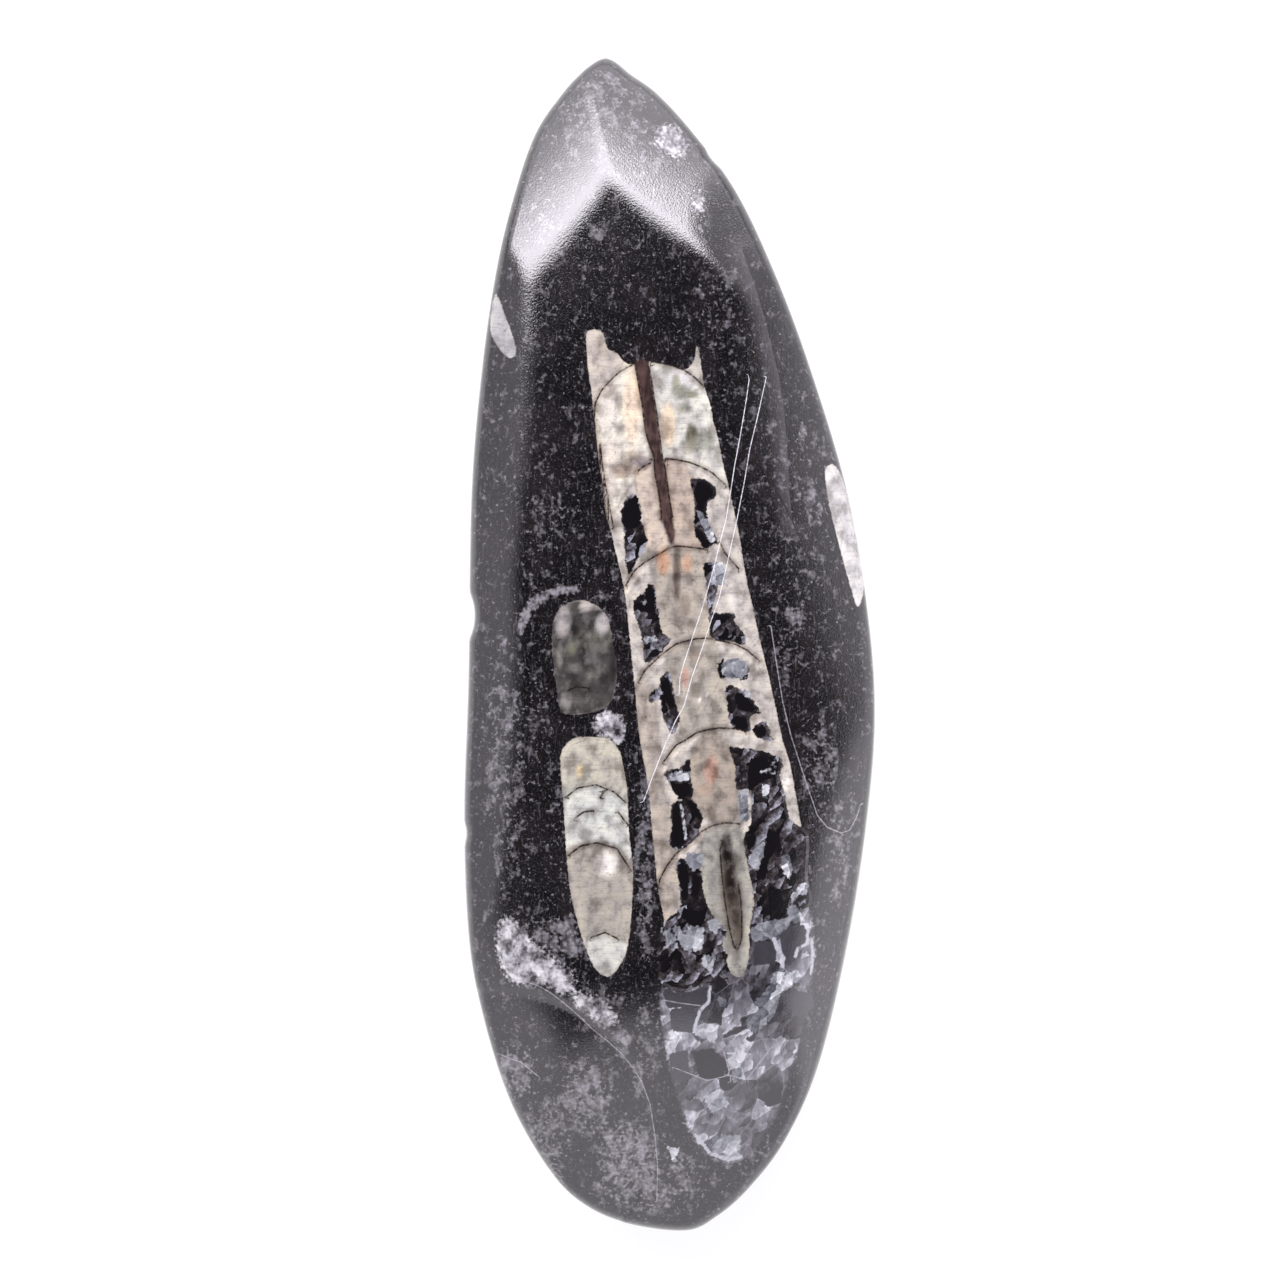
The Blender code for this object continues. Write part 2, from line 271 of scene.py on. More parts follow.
# The tube that joined the chambers, with its brown filling.
TUBES = (
    ((635, 362), (647, 360), (651, 376), (654, 396), (657, 416), (660, 439), (662, 455), (666, 473),
     (669, 496), (673, 520), (675, 538), (671, 545), (667, 535), (662, 520), (659, 499), (655, 473),
     (653, 455), (649, 444), (645, 428), (642, 403), (638, 381)),
)
# The sparry ground below the larger shell.
SPAR = (
    (806, 900), (813, 930), (816, 960), (813, 990), (806, 1020), (796, 1060), (785, 1100), (772, 1130),
    (757, 1152), (742, 1168), (722, 1170), (704, 1158), (690, 1135), (678, 1100), (668, 1060), (662, 1020),
    (663, 990), (690, 985), (706, 975), (731, 974), (748, 967), (752, 930), (790, 915),
)
# The walls between chambers: thin dark arcs, each with a pale band of calcite grown on its lower side.
WALLS = (
    ((594, 420), (595, 403), (602, 389), (611, 379), (620, 371), (633, 364)),
    ((648, 361), (658, 362), (672, 365), (685, 370), (695, 377), (704, 386)),
    ((663, 458), (679, 460), (689, 462), (702, 467), (713, 473), (727, 486)),
    ((625, 587), (634, 571), (645, 562), (659, 554), (671, 547), (679, 546), (688, 547), (698, 548),
     (708, 550)),
    ((638, 683), (645, 670), (661, 655), (676, 644), (694, 639), (706, 638), (717, 640), (735, 644),
     (747, 650), (761, 662)),
    ((662, 764), (676, 745), (686, 740), (696, 733), (706, 730), (719, 728), (737, 729), (747, 732)),
    ((658, 889), (660, 879), (667, 866), (676, 854), (689, 844), (701, 832), (712, 826), (724, 823),
     (740, 824)),
    ((565, 798), (578, 788), (596, 785), (614, 792), (627, 804)),
    ((568, 856), (581, 846), (597, 843), (617, 849), (631, 871)),
    ((589, 939), (605, 933), (619, 940)),
)
# Other thin dark lines: the tube's sides and open cracks.
DARK_LINES = (
    ((638, 337), (635, 350), (635, 364), (638, 381), (642, 403), (645, 428), (649, 444), (654, 455),
     (655, 473), (660, 499), (662, 520)),
    ((639, 337), (644, 350), (647, 361), (651, 376), (654, 397), (657, 416), (660, 439), (662, 455),
     (666, 473), (669, 496), (673, 520)),
    ((594, 419), (596, 441), (598, 458), (601, 476), (605, 499), (607, 520)),
    ((637, 472), (642, 467), (652, 462)),
    ((723, 842), (720, 850), (722, 875), (725, 901), (729, 926), (734, 947), (738, 951), (742, 939),
     (742, 920), (741, 901), (738, 882)),
    ((720, 542), (725, 553), (733, 562), (740, 570)),
    ((753, 449), (768, 476), (785, 505), (800, 535), (808, 556)),
    ((811, 468), (822, 500), (833, 534), (842, 566), (851, 604)),
    ((600, 444), (603, 470), (608, 500), (614, 530)),
    ((568, 690), (577, 687), (589, 688)),
    ((681, 989), (695, 984), (716, 983), (728, 979)),
    ((787, 992), (799, 985)),
    ((600, 798), (606, 789)),
    ((574, 819), (584, 812), (594, 811)),
    ((618, 812), (624, 820), (629, 826)),
)
# Bright scratches in the polish.
SCRATCHES = (
    ((750, 375), (746, 403), (740, 438), (735, 464), (731, 490), (726, 520), (720, 543), (712, 575),
     (702, 609), (692, 639), (684, 663), (680, 678), (679, 695)),
    ((767, 375), (760, 407), (750, 449), (745, 479), (737, 520), (728, 560), (719, 599), (711, 621),
     (703, 646), (692, 677), (684, 706), (676, 720), (665, 745), (652, 778), (643, 803)),
)
# Light veins, and three short painted glints off cleavage steps in the dark spar: the points of each and half
# its width.
VEINS_AND_GLINTS = (
    (((774, 939), (778, 950), (784, 958), (783, 968)), 1.8),
    (((710, 988), (709, 1003), (700, 1012), (694, 1034)), 1.5),
    (((696, 1141), (711, 1160), (729, 1167), (742, 1164)), 1.8),
    (((809, 932), (808, 945), (798, 950), (796, 958)), 1.5),
    (((812, 940), (814, 955), (812, 975)), 1.5),
    (((681, 805), (684, 822), (686, 840)), 1.2),
    # painted glints: bright dashes of light reflected off cleavage steps inside the dark spar
    (((768, 761), (775, 761)), 1.3),
    (((769, 769), (776, 768)), 1.3),
    (((761, 772), (775, 773)), 1.3),
)
# Regional colours inside the pale calcite: an outline and a colour.
FILLS = (
    (((586, 325), (604, 325), (620, 350), (634, 364), (620, 371), (602, 389), (594, 420), (586, 380)),
     "#a09a93"),
    (((594, 420), (602, 389), (620, 371), (634, 364), (651, 462), (637, 472), (606, 515), (596, 460)),
     "#c5c2b6"),
    (((648, 361), (685, 370), (704, 386), (727, 486), (702, 467), (662, 458), (650, 400)), "#b2b2ab"),
    (SMALL_SHELL_TOP, "#3a3938"),
    (RIGHT_BIT, "#aeadac"),
    (LEFT_BIT, "#8f9092"),
    (((636, 690), (652, 690), (658, 740), (662, 786), (668, 805), (671, 830), (666, 843), (676, 853),
     (676, 900), (664, 920), (654, 850), (640, 741)), "#968f86"),
    (((560, 759), (565, 746), (575, 738), (609, 739), (623, 765), (627, 803), (614, 792), (596, 785),
     (578, 788), (565, 798)), "#a19f93"),
    (((565, 798), (578, 788), (596, 785), (614, 792), (627, 803), (631, 871), (617, 849), (597, 843),
     (581, 846), (568, 856)), "#afb2ac"),
    (((568, 856), (581, 846), (597, 843), (617, 849), (633, 871), (631, 930), (619, 940), (605, 933),
     (589, 939), (578, 925)), "#918d85"),
    (((589, 939), (605, 933), (619, 940), (627, 950), (608, 978), (590, 960)), "#adaea8"),
    (((657, 560), (671, 547), (706, 549), (703, 566), (707, 602), (711, 638), (694, 639), (671, 640),
     (660, 625), (656, 600)), "#969086"),
    (((668, 655), (694, 641), (712, 641), (722, 665), (724, 690), (726, 728), (706, 730), (684, 738),
     (680, 715), (672, 690)), "#979288"),
    (((704, 734), (716, 734), (731, 750), (736, 775), (736, 815), (719, 821), (704, 815), (693, 798),
     (691, 758)), "#8c847a"),
    (((636, 470), (654, 466), (662, 521), (668, 545), (650, 550), (645, 520), (640, 500)), "#aa9f93"),
    (((664, 462), (685, 465), (692, 490), (694, 530), (700, 546), (676, 545), (672, 515)), "#9f9387"),
    (((705, 835), (741, 830), (750, 870), (753, 905), (748, 967), (731, 974), (722, 940), (705, 890)),
     "#8b8a83"),
)
# Soft spots of colour: middle, half width, half height, colour and strength.
SPOTS = (
    ((632, 405), 11, 48, "#c6b49f", 0.9),
    ((640, 385), 7, 26, "#cbb49c", 0.7),
    ((610, 405), 12, 30, "#c4bdb4", 0.8),
    ((619, 402), 5, 13, "#7e7c73", 0.85),
    ((620, 430), 6, 9, "#908d83", 0.8),
    ((608, 470), 12, 40, "#afa69f", 0.6),
    ((641, 461), 12, 8, "#70686b", 0.9),
    ((624, 470), 16, 10, "#7a6b5f", 0.85),
    ((630, 455), 14, 6, "#7c6d5f", 0.6),
    ((605, 345), 14, 12, "#908a81", 0.9),
    ((680, 380), 14, 14, "#b5b4b5", 0.8),
    ((681, 391), 11, 9, "#6e7063", 0.9),
    ((676, 381), 5, 9, "#747762", 0.8),
    ((692, 394), 8, 5, "#626456", 0.9),
    ((684, 408), 11, 6, "#7c7c71", 0.8),
    ((692, 436), 7, 15, "#524e3a", 0.95),
    ((687, 447), 10, 8, "#7e7b6d", 0.7),
    ((705, 440), 12, 13, "#83857c", 0.9),
    ((708, 408), 8, 22, "#c4c3b9", 0.8),
    ((668, 425), 9, 26, "#c3af92", 0.8),
    ((663, 562), 8, 15, "#b2886a", 0.8),
    ((687, 563), 6, 12, "#b48e71", 0.7),
    ((677, 574), 5, 32, "#42342d", 0.85),
    ((685, 605), 7, 14, "#605348", 0.6),
    ((735, 596), 9, 16, "#c0bcb6", 0.9),
    ((685, 677), 5, 12, "#a37c6d", 0.7),
    ((696, 655), 9, 9, "#6e5e52", 0.6),
    ((707, 696), 2.6, 2.6, "#d6d3ce", 1.0),
    ((700, 700), 1.5, 1.5, "#cfcac4", 1.0),
    ((711, 770), 8, 16, "#a37a6a", 0.7),
    ((706, 790), 10, 8, "#947e6d", 0.5),
    ((786, 782), 6, 10, "#c3bfba", 1.0),
    ((794, 810), 5, 11, "#bdbab4", 1.0),
    ((746, 829), 5, 5, "#afaca4", 0.9),
    ((760, 720), 4.5, 4.5, "#c0bbb7", 1.0),
    ((580, 771), 4, 8, "#cbb78a", 0.8),
    ((606, 864), 14, 15, "#c9c6c0", 0.95),
    ((563, 622), 9, 18, "#8e8a89", 1.0),
    ((586, 606), 8, 7, "#a09c9a", 0.8),
    ((602, 625), 8, 13, "#a09d9b", 1.0),
    ((570, 650), 7, 7, "#626256", 0.8),
    ((586, 646), 7, 9, "#1c1a1b", 0.9),
    ((603, 679), 5, 6, "#211f1f", 0.9),
    ((566, 700), 7, 9, "#7d7a77", 0.8),
    ((730, 900), 14, 60, "#6d695f", 0.6),
    ((738, 930), 6, 20, "#4a4238", 0.85),
    ((734, 905), 8, 26, "#352e28", 0.95),
    ((727, 850), 7, 22, "#17110e", 1.0),
    ((730, 878), 8, 28, "#1c1512", 1.0),
    ((590, 640), 26, 10, "#5e5e53", 0.5),
    ((575, 630), 6, 6, "#252324", 0.8),
    ((573, 668), 9, 6, "#60605a", 0.6),
    ((594, 672), 8, 9, "#6b6b65", 0.6),
    ((581, 700), 8, 6, "#615f5a", 0.6),
    ((614, 655), 5, 30, "#1f1d1f", 0.8),
    ((560, 655), 4, 14, "#7e7c77", 0.6),
    ((598, 606), 7, 5, "#7d7b78", 0.7),
    ((583, 621), 5, 8, "#33302f", 0.7),
)
# Clouded limestone, where pale grains crowd: middle, half width, half height and share of grains.
CLOUDS = (
    ((600, 105), 50, 45, 0.55), ((655, 145), 36, 30, 0.55), ((540, 215), 16, 50, 0.3),
    ((594, 96), 12, 20, 0.75), ((626, 118), 24, 12, 0.65), ((572, 140), 12, 26, 0.5),
    ((505, 760), 24, 150, 0.55), ((535, 720), 16, 60, 0.35), ((584, 1100), 32, 46, 0.9),
    ((628, 1165), 36, 46, 1.15), ((622, 1045), 9, 22, 1.2), ((638, 1078), 7, 22, 1.2),
    ((545, 1150), 34, 60, 0.7), ((521, 627), 5, 9, 1.6), ((525, 615), 6, 9, 1.6), ((532, 605), 8, 7, 1.6),
    ((541, 598), 9, 6, 1.6), ((552, 593), 9, 5, 1.6), ((564, 590), 9, 4, 1.6), ((574, 589), 6, 4, 1.5),
    ((516, 1075), 20, 36, 0.9), ((650, 1190), 70, 40, 0.8), ((560, 940), 60, 26, 0.9),
    ((545, 520), 26, 36, 0.35), ((596, 233), 9, 9, 0.6), ((650, 1040), 16, 50, 0.6),
    ((800, 480), 40, 60, 0.35), ((796, 618), 13, 18, 0.95), ((816, 506), 11, 28, 0.9),
    ((804, 430), 5, 10, 1.0), ((770, 425), 8, 8, 0.8), ((800, 560), 30, 50, 0.35),
    ((790, 660), 16, 30, 0.5), ((645, 860), 12, 110, 0.8), ((820, 760), 22, 60, 0.7),
    ((740, 1150), 40, 30, 0.7), ((560, 800), 16, 60, 0.2), ((720, 300), 30, 60, 0.25),
    ((840, 850), 14, 60, 0.6), ((590, 1000), 30, 16, 0.7),
)
# Hairlines: edges of shells just under the polish, and long fine scratches.
HAIRLINES = (
    ((771, 625), (777, 665), (783, 702), (791, 735), (801, 766), (810, 793), (818, 816), (828, 828),
     (842, 834), (851, 831), (858, 818), (862, 804)),
    ((510, 981), (524, 983), (537, 987), (550, 994), (563, 1004), (578, 1017), (592, 1031), (608, 1044),
     (622, 1057), (633, 1071), (642, 1086), (650, 1108), (655, 1140), (658, 1175), (657, 1212)),
    ((496, 1058), (520, 1066), (540, 1082)),
    ((663, 1001), (678, 1004), (701, 1007)),
    ((673, 1070), (708, 1084), (732, 1078), (747, 1084)),
    ((724, 1053), (729, 1071), (732, 1086)),
    ((747, 1084), (760, 1066), (773, 1049)),
)
# Painted glint: grey reflected light laid into the mud where the hand-ground polish glints along a soft edge.
# It fades off to the left of each path.
GLINTS = (
    ((793, 524), (790, 490), (788, 450), (785, 410), (780, 376), (772, 344), (764, 312), (755, 282),
     (742, 246)),
)
# fmt: on
CALCITE = "#a4a09a"  # shell walls and chamber fillings
BAND_COLOUR = "#b6b1a9"  # the calcite grown on a wall's lower side
WALL_BAND = 11  # grid steps, how thick it grew
FILL_EDGE = 0.25  # mm over which one filling passes into the next
FILL_SEAM = 0.30  # how much darker the seam between them is
NEAR = 3.0  # mm, past which a distance isn't worked out


# ---- shape
def smooth_loop(points, steps):
    """A closed Catmull-Rom curve through points, with steps points to each span, as an array."""
    p = np.array(points, float)
    u = np.linspace(0, 1, steps, endpoint=False)[:, None]
    return np.vstack([
        0.5 * (2 * b + (c - a) * u + (2 * a - 5 * b + 4 * c - d) * u**2 + (3 * b - a - 3 * c + d) * u**3)
        for a, b, c, d in zip(np.roll(p, 1, 0), p, np.roll(p, -1, 0), np.roll(p, -2, 0))
    ])  # fmt: skip


def at_share(path, share):
    """The points of path that lie at the given shares of its length."""
    run = np.concatenate([[0], np.cumsum(np.linalg.norm(np.diff(path, axis=0), axis=1))])
    return np.column_stack([np.interp(share * run[-1], run, path[:, axis]) for axis in (0, 1)])


def chipped(side, outwards):
    """A side of the outline with its chips cut in; outwards is -1 on the left and 1 on the right."""
    side = side.copy()
    for place, reach, depth in CHIPS:
        far = np.linalg.norm(side - np.array(place), axis=1) / reach
        side[:, 0] -= outwards * depth * np.clip(1 - far**2, 0, 1)
    return side


def outline_sides():
    """The left and the right side of the outline, both from the point to the round end."""
    loop = smooth_loop([POINT, *LEFT_SIDE, ROUND_END, *reversed(RIGHT_SIDE)], PATH_STEPS) * LENGTH
    at_round_end = PATH_STEPS * (len(LEFT_SIDE) + 1)
    left = loop[: at_round_end + 1]
    right = np.vstack([loop[:1], loop[: at_round_end - 1 : -1]])
    evenly = np.linspace(0, 1, STATIONS)
    return chipped(at_share(left, evenly), -1), chipped(at_share(right, evenly), 1)


def smooth_min(a, b, blend):
    """The lower of two heights, rounded where they meet."""
    near = np.clip(1 - np.abs(a - b) / blend, 0, 1)
    return np.minimum(a, b) - near**2 * blend / 4


def crown_height(x, y):
    """Height of the gently domed polish, before any facet."""
    return CROWN_HEIGHT - x**2 / (2 * CROWN_RADIUS_ACROSS) - y**2 / (2 * CROWN_RADIUS_ALONG)


def scar_depth(x, y):
    """How deep the scar is: it drops at its lip and comes back up to the polish towards its middle."""
    inside = SCAR_RADIUS - np.hypot(x - SCAR_CENTRE[0], y - SCAR_CENTRE[1])
    lip = np.clip(inside / SCAR_LIP, 0, 1)
    return SCAR_DEPTH * lip * lip * (3 - 2 * lip) * np.exp(-np.maximum(inside, 0) / SCAR_FADE)


def face_height(x, y):
    """Height of the polished face before its rim is rounded: the crown cut by the facets and the scar."""
    z = crown_height(x, y)
    for ridge, faces, slope, radius, blend in FACETS:
        out = np.array(faces) / np.linalg.norm(faces)
        beyond = (x - ridge[0]) * out[0] + (y - ridge[1]) * out[1]
        drop = math.tan(math.radians(slope)) * beyond + np.maximum(beyond, 0) ** 2 / (2 * radius)
        z = smooth_min(z, crown_height(*ridge) - drop, blend)
    return z - scar_depth(x, y)


def back_height(x, y):
    """Height of the underside: lapped flat in the middle and rising a little towards the rims."""
    bulge = x**2 / (2 * BACK_RADIUS_ACROSS) + y**2 / (2 * BACK_RADIUS_ALONG) - BACK_BULGE
    return np.maximum(bulge, 0)


def rim_share(inset, reach, power):
    """How far the surface has left the rim line, from 0 at the outline to 1 at reach inside it."""
    return (1 - np.clip(1 - inset / reach, 0, 1) ** power) ** (1 / power)


def off_path(path, points):
    """How far each point is from a path of straight pieces, and on which side: the left side is positive.

    Past the path's two ends the distance has no side.
    """
    start, run = path[:-1], np.diff(path, axis=0)
    length = np.linalg.norm(run, axis=1)
    result = []
    for batch in np.array_split(points, len(points) // BATCH + 1):
        from_start = batch[:, None] - start
        share = (from_start * run).sum(2) / length**2
        away = np.linalg.norm(from_start - np.clip(share, 0, 1)[:, :, None] * run, axis=2)
        nearest = away.argmin(1)
        row = np.arange(len(batch))
        (ahead_x, ahead_y), (x, y) = run[nearest].T, from_start[row, nearest].T
        side = np.sign(ahead_x * y - ahead_y * x)
        share = share[row, nearest]
        past = ((nearest == 0) & (share < 0)) | ((nearest == len(run) - 1) & (share > 1))
        result.append(away[row, nearest] * np.where(past, 1, side))
    return np.concatenate(result)


def outline_inset(points, left, right):
    """How far each point is inside the outline; towards the pointed end the two sides blend."""
    a, b = (np.abs(off_path(side, points)) + ON_OUTLINE for side in (left, right))
    pointed = np.clip(2 * points[:, 1] / LENGTH, 0, 1)
    return (1 - pointed) * np.minimum(a, b) + pointed * a * b / (a**3 + b**3) ** (1 / 3)


def stone_points(lat, lon):
    """Where the points of a sphere with its poles on Y go on the stone.

    lat runs from 0 at the point to 1 at the round end. lon runs round a section from 0 at the right rim,
    over the polished face to 0.5 at the left rim, and back under the stone.
    """
    left, right = outline_sides()
    along = EVEN_SHARE_ALONG * lat + (1 - EVEN_SHARE_ALONG) * (1 - np.cos(math.pi * lat)) / 2
    from_left, from_right = at_share(left, along), at_share(right, along)
    across = (1 + np.cos(2 * math.pi * lon)) / 2
    spread = across + EVEN_SHARE_ACROSS * (1 - 2 * lon - across)
    across = np.where(lon <= 0.5, spread, across)
    flat = from_left + (from_right - from_left) * across[:, None]
    x, y = flat.T
    inset = outline_inset(flat, left, right)
    wave = np.array([noise.noise(Vector((a, b, 0)) / GRINDING_WAVE_LENGTH) for a, b in flat])
    rim = face_height(x, y) + GRINDING_WAVE * wave - SKIN - RIM_DROP
    top = rim + RIM_DROP * rim_share(inset, RIM_ROUND_TOP, RIM_FULLNESS_TOP)
    back = rim - (rim - back_height(x, y) - SKIN) * rim_share(inset, RIM_ROUND_BACK, RIM_FULLNESS_BACK)
    return np.column_stack([x, y, np.where(lon <= 0.5, top, back)])


def put(name, data):
    """Adds an object made of the data to the scene."""
    thing = bpy.data.objects.new(name, data)
    bpy.context.scene.collection.objects.link(thing)
    return thing


def make_stone():
    """The whole stone as one closed mesh: a ball whose every point is moved to its place on the stone."""
    bm = bmesh.new()
    bmesh.ops.create_uvsphere(bm, u_segments=SEGMENTS_AROUND, v_segments=SEGMENTS_ALONG, radius=1)
    ball = np.array([v.co for v in bm.verts])
    lat = np.arccos(np.clip(ball[:, 2], -1, 1)) / math.pi
    turn = np.arctan2(ball[:, 1], ball[:, 0]) / (2 * math.pi) % 1.0
    turn = np.round(turn * SEGMENTS_AROUND) / SEGMENTS_AROUND % 1.0
    lon = np.interp(turn, (0, TOP_SEGMENTS / SEGMENTS_AROUND, 1), (0, 0.5, 1))
    places = stone_points(lat, lon)
    for vertex, place in zip(bm.verts, places):
        vertex.co = place
    bmesh.ops.recalc_face_normals(bm, faces=bm.faces)
    mesh = bpy.data.meshes.new("polished_stone")
    bm.to_mesh(mesh)
    bm.free()
    mesh.shade_smooth()
    unwrap(mesh, lat, turn)
    draw_fossils(mesh, lon <= 0.5)
    return put("polished_stone", mesh)


def unwrap(mesh, lat, turn):
    """Lays the polished face in the wide part of the map and the back in the narrow part.

    turn is how far round a section each vertex is. A face that spans the end of a turn takes 1 for 0, and a
    corner at a pole takes its face's middle.
    """
    split = TOP_SEGMENTS / SEGMENTS_AROUND
    totals = np.empty(len(mesh.polygons), int)
    corners = np.empty(len(mesh.loops), int)
    mesh.polygons.foreach_get("loop_total", totals)
    mesh.loops.foreach_get("vertex_index", corners)
    face = np.repeat(np.arange(len(totals)), totals)
    at_pole = (lat[corners] < AT_POLE) | (lat[corners] > 1 - AT_POLE)
    u = turn[corners]
    highest = np.full(len(totals), -1.0)
    lowest = np.full(len(totals), 2.0)
    np.maximum.at(highest, face, np.where(at_pole, -1, u))
    np.minimum.at(lowest, face, np.where(at_pole, 2, u))
    wraps = highest - lowest > 0.5
    u = np.where(wraps[face] & (u < 0.5) & ~at_pole, u + 1, u)
    lowest = np.where(wraps, highest, lowest)
    u = np.where(at_pole, lowest[face] + 0.5 / SEGMENTS_AROUND, u)
    on_face = (lowest < split - 0.5 / SEGMENTS_AROUND)[face]
    u = np.where(on_face, np.interp(u, (0, split), FACE_STRIP), np.interp(u, (split, 1), BACK_STRIP))
    v = np.interp(lat[corners], (0, 1), LENGTH_STRIP)
    layer = mesh.uv_layers.new(name="OFBake")
    layer.data.foreach_set("uv", np.column_stack([u, v]).astype(np.float32).ravel())


# ---- fossils on the face
def on_stone(points):
    """Grid points, in steps, as places on the stone in mm."""
    steps = np.array(points, float) - GRID_CENTRE
    return steps * (GRID_STEP, -GRID_STEP) + GRID_CENTRE_AT


def signed_inside(outline, points, near):
    """How far inside a closed outline each point is; outside it is negative, and no less than -near.

    A point is inside where a line from it to the left crosses the outline an odd number of times.
    """
    result = np.full(len(points), -near)
    low, high = outline.min(0) - near, outline.max(0) + near
    picked = np.flatnonzero(((points > low) & (points < high)).all(1))
    if not len(picked):
        return result
    spot = points[picked]
    closed = np.vstack([outline, outline[:1]])
    crossings = np.zeros(len(spot), int)
    for a, b in zip(closed[:-1], closed[1:]):
        between = (a[1] > spot[:, 1]) != (b[1] > spot[:, 1])
        rise = b[1] - a[1] if b[1] != a[1] else 1
        crossings += between & (spot[:, 0] < a[0] + (spot[:, 1] - a[1]) * (b[0] - a[0]) / rise)
    inside = crossings % 2 == 1
    away = np.abs(off_path(closed, spot))
    result[picked] = np.maximum(np.where(inside, away, -away), -near)
    return result


def drawn(shapes, points, near=NEAR, steps=3):
    """The largest signed distance into any of the shapes, whose grid outlines are rounded into curves."""
    loops = [smooth_loop(on_stone(shape), steps) for shape in shapes]
    return np.max([signed_inside(loop, points, near) for loop in loops], axis=0)


def nearest_line(lines, points, near=NEAR):
    """The distance to the nearest line, with a side, so that it crosses zero along the line's middle."""
    result = np.full(len(points), near)
    for line in lines:
        path = on_stone(line)
        picked = np.flatnonzero(((points > path.min(0) - near) & (points < path.max(0) + near)).all(1))
        away = off_path(path, points[picked])
        result[picked] = np.where(np.abs(away) < np.abs(result[picked]), away, result[picked])
    return result


def soft_spot(spot, points):
    """1 in the middle of an elliptical spot, falling smoothly to 0 at its edge."""
    middle, half = on_stone(spot[0]), np.array(spot[1:3]) * GRID_STEP
    inwards = np.clip(1 - (((points - middle) / half) ** 2).sum(1), 0, 1)
    return inwards * (2 - inwards)


def calcite_colours(points):
    """The calcite's own colour at each point, in linear values."""
    colours = np.tile(srgb(CALCITE), (len(points), 1))
    bands = [([*wall, *((x, y + WALL_BAND) for x, y in reversed(wall))], BAND_COLOUR) for wall in WALLS]
    for outline, code in (*bands, *FILLS):
        inside = drawn([outline], points, 1.0)[:, None]
        colours += np.clip(inside / FILL_EDGE + 1, 0, 1) * (np.array(srgb(code)) - colours)
        colours *= 1 - FILL_SEAM * np.clip(1 - np.abs(inside + FILL_EDGE / 2) / FILL_EDGE, 0, 1)
    for *spot, code, strength in SPOTS:
        share = strength * soft_spot(spot, points)[:, None]
        colours += share * (np.array(srgb(code)) - colours)
    return colours


def fossil_fields(points):
    """What is drawn on the face, one value for each point: distances in mm, positive inside, and shares."""
    lines = {"wall": WALLS + DARK_LINES, "scratch": SCRATCHES, "hairline": HAIRLINES, "glint": GLINTS}
    lines = {name: nearest_line(paths, points) for name, paths in lines.items()}
    veins_and_glints = [half_width * GRID_STEP - np.abs(nearest_line([line], points)) for line, half_width in VEINS_AND_GLINTS]
    return {
        "shell": drawn([SHELL, SMALL_SHELL_TOP, SMALL_SHELL, RIGHT_BIT, LEFT_BIT], points),
        "patch": drawn(PATCHES, points),
        "spar": drawn([SPAR], points),
        "pocket": drawn(POCKETS, points),
        "black": drawn(BLACK, points, steps=1),
        "grey": drawn(GREY, points, steps=1),
        "light": drawn(LIGHT, points, steps=1),
        "tube": drawn(TUBES, points),
        "vein": np.max(veins_and_glints, axis=0),
        **lines,
        **{name + "_near": np.abs(away) for name, away in lines.items()},
        "cloud": np.max([strength * soft_spot(spot, points) for *spot, strength in CLOUDS], axis=0),
    }


def draw_fossils(mesh, on_face):
    """Stores the drawing on the polished face's vertices; the rest of the stone is bare limestone."""
    places = np.empty(len(mesh.vertices) * 3)
    mesh.vertices.foreach_get("co", places)
    points = places.reshape(-1, 3)[:, :2] / MM
    for name, values in fossil_fields(points).items():
        values = np.where(on_face, values, NEAR if name.startswith((*LINES, "glint")) else -NEAR)
        layer = mesh.attributes.new(name, "FLOAT", "POINT")
        layer.data.foreach_set("value", values.astype(np.float32))
    layer = mesh.attributes.new("calcite_colour", "FLOAT_COLOR", "POINT")
    layer.data.foreach_set("color", calcite_colours(points).astype(np.float32).ravel())


# ---- stage
DAYLIGHT = "#fbf6ff"  # the lamps' cool white
TENT = (
    # the direction's part that each glow follows, the two values it runs between, the glow at each, and how
    ("Z", (math.cos(math.radians(38)), math.cos(math.radians(17)), 0.85, 0.04), "SMOOTHSTEP"),
    ("Y", (0.5, -0.5, 0.75, 1.5), "LINEAR"),
    ("X", (0.1, 0.8, 1.0, 1.7), "LINEAR"),
)
SOFTBOXES = (
    # name, the way to it from the stone, its distance and its size in metres, and its radiance
    ("softbox_over_the_point", (-0.145, 0.541, 0.829), 0.8, (0.80, 0.24), 9.5),
    ("softbox_skirt", (-0.145, 0.700, 0.699), 0.8, (0.80, 0.12), 3.6),
    ("panel_beyond_the_point", (-0.15, 0.87, 0.42), 1.0, (2.10, 0.84), 1.8),
)
OPAL = {"Base Color": "#959595", "Roughness": 0.6, "Emission Color": "#ffffff", "Emission Strength": 0.75}
FLOOR_RADIUS = 3  # metres
LENS = 135  # mm
SENSOR_WIDTH = 36  # mm
VIEW_WIDTH = 0.1311  # metres that the picture takes in at the widest line


def softbox(name, towards, distance, size, radiance):
    """An area light whose face has the given radiance, facing the middle of the stone."""
    light = bpy.data.lights.new(name, "AREA")
    light.shape = "RECTANGLE"
    light.size, light.size_y = size
    light.energy = radiance * size[0] * size[1] * math.pi
    light.color = srgb(DAYLIGHT)[:3]
    lamp = put(name, light)
    out = Vector(towards).normalized()
    lamp.location = out * distance
    lamp.rotation_euler = out.to_track_quat("Z", "Y").to_euler()


def add(tree, kind, inputs, **settings):
    """Adds one node with its settings. A value that is another node's output is linked."""
    node = tree.nodes.new("ShaderNode" + kind)
    for name, value in settings.items():
        setattr(node, name, value)
    for name, value in inputs.items():
        if isinstance(value, bpy.types.NodeSocket):
            tree.links.new(value, node.inputs[name])
        else:
            node.inputs[name].default_value = value
    return node


